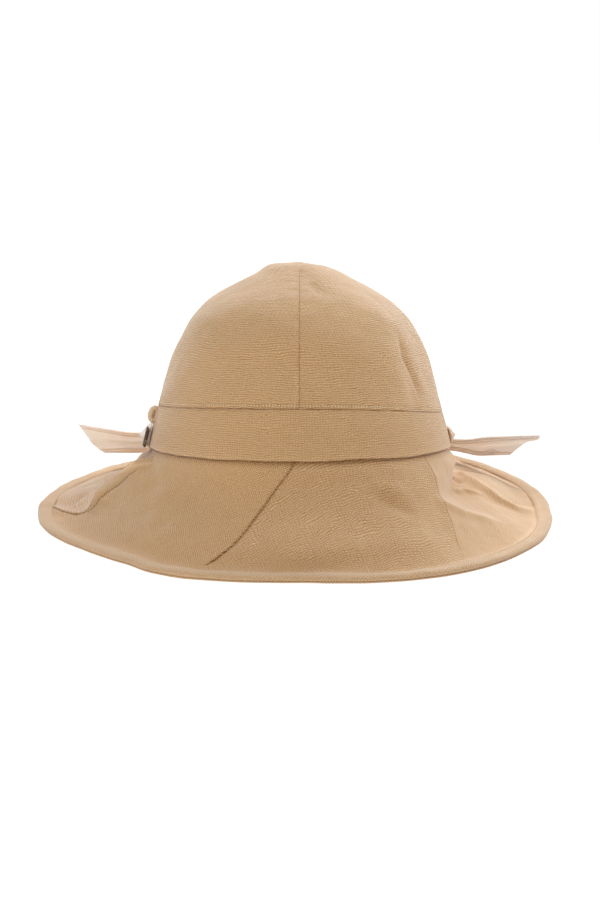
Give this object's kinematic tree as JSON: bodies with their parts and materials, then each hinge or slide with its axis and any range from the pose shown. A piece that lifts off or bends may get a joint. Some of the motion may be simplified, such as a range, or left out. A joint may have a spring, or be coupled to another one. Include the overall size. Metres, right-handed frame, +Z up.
{
  "type": "cloche hat",
  "caption": "Linen cloche hat with a gored crown, a hat band, a wide downturned panelled brim with a bound rim, and a ribbon tied behind with loose tails.",
  "frame": {"origin": "centre of the rim's bounding box, on the surface that the hat stands on", "axes": "+Z up out of the crown, -Y to the front of the hat, +X to the wearer's left"},
  "size_m": [0.3044, 0.2888, 0.1462],
  "materials": {
    "crown_linen": "matte woven linen, natural beige",
    "brim_linen": "matte woven linen, natural beige",
    "ribbon_linen": "matte folded linen ribbon, pale beige",
    "slide_metal": "dark aged metal"
  },
  "bodies": {
    "root": {"crown_gore_1": "crown_linen", "crown_gore_2": "crown_linen", "crown_gore_3": "crown_linen", "crown_gore_4": "crown_linen", "crown_gore_5": "crown_linen", "crown_gore_6": "crown_linen", "band": "crown_linen", "brim_panel_1": "brim_linen", "brim_panel_2": "brim_linen", "brim_panel_3": "brim_linen", "brim_panel_4": "brim_linen", "brim_panel_5": "brim_linen", "brim_panel_6": "brim_linen", "rim_tape": "brim_linen", "tie_left": "ribbon_linen", "tie_right": "ribbon_linen", "tie_knot": "ribbon_linen", "tail_left": "ribbon_linen", "tail_right": "ribbon_linen", "keeper_loop": "ribbon_linen", "metal_slide": "slide_metal"}
  },
  "joints": []
}
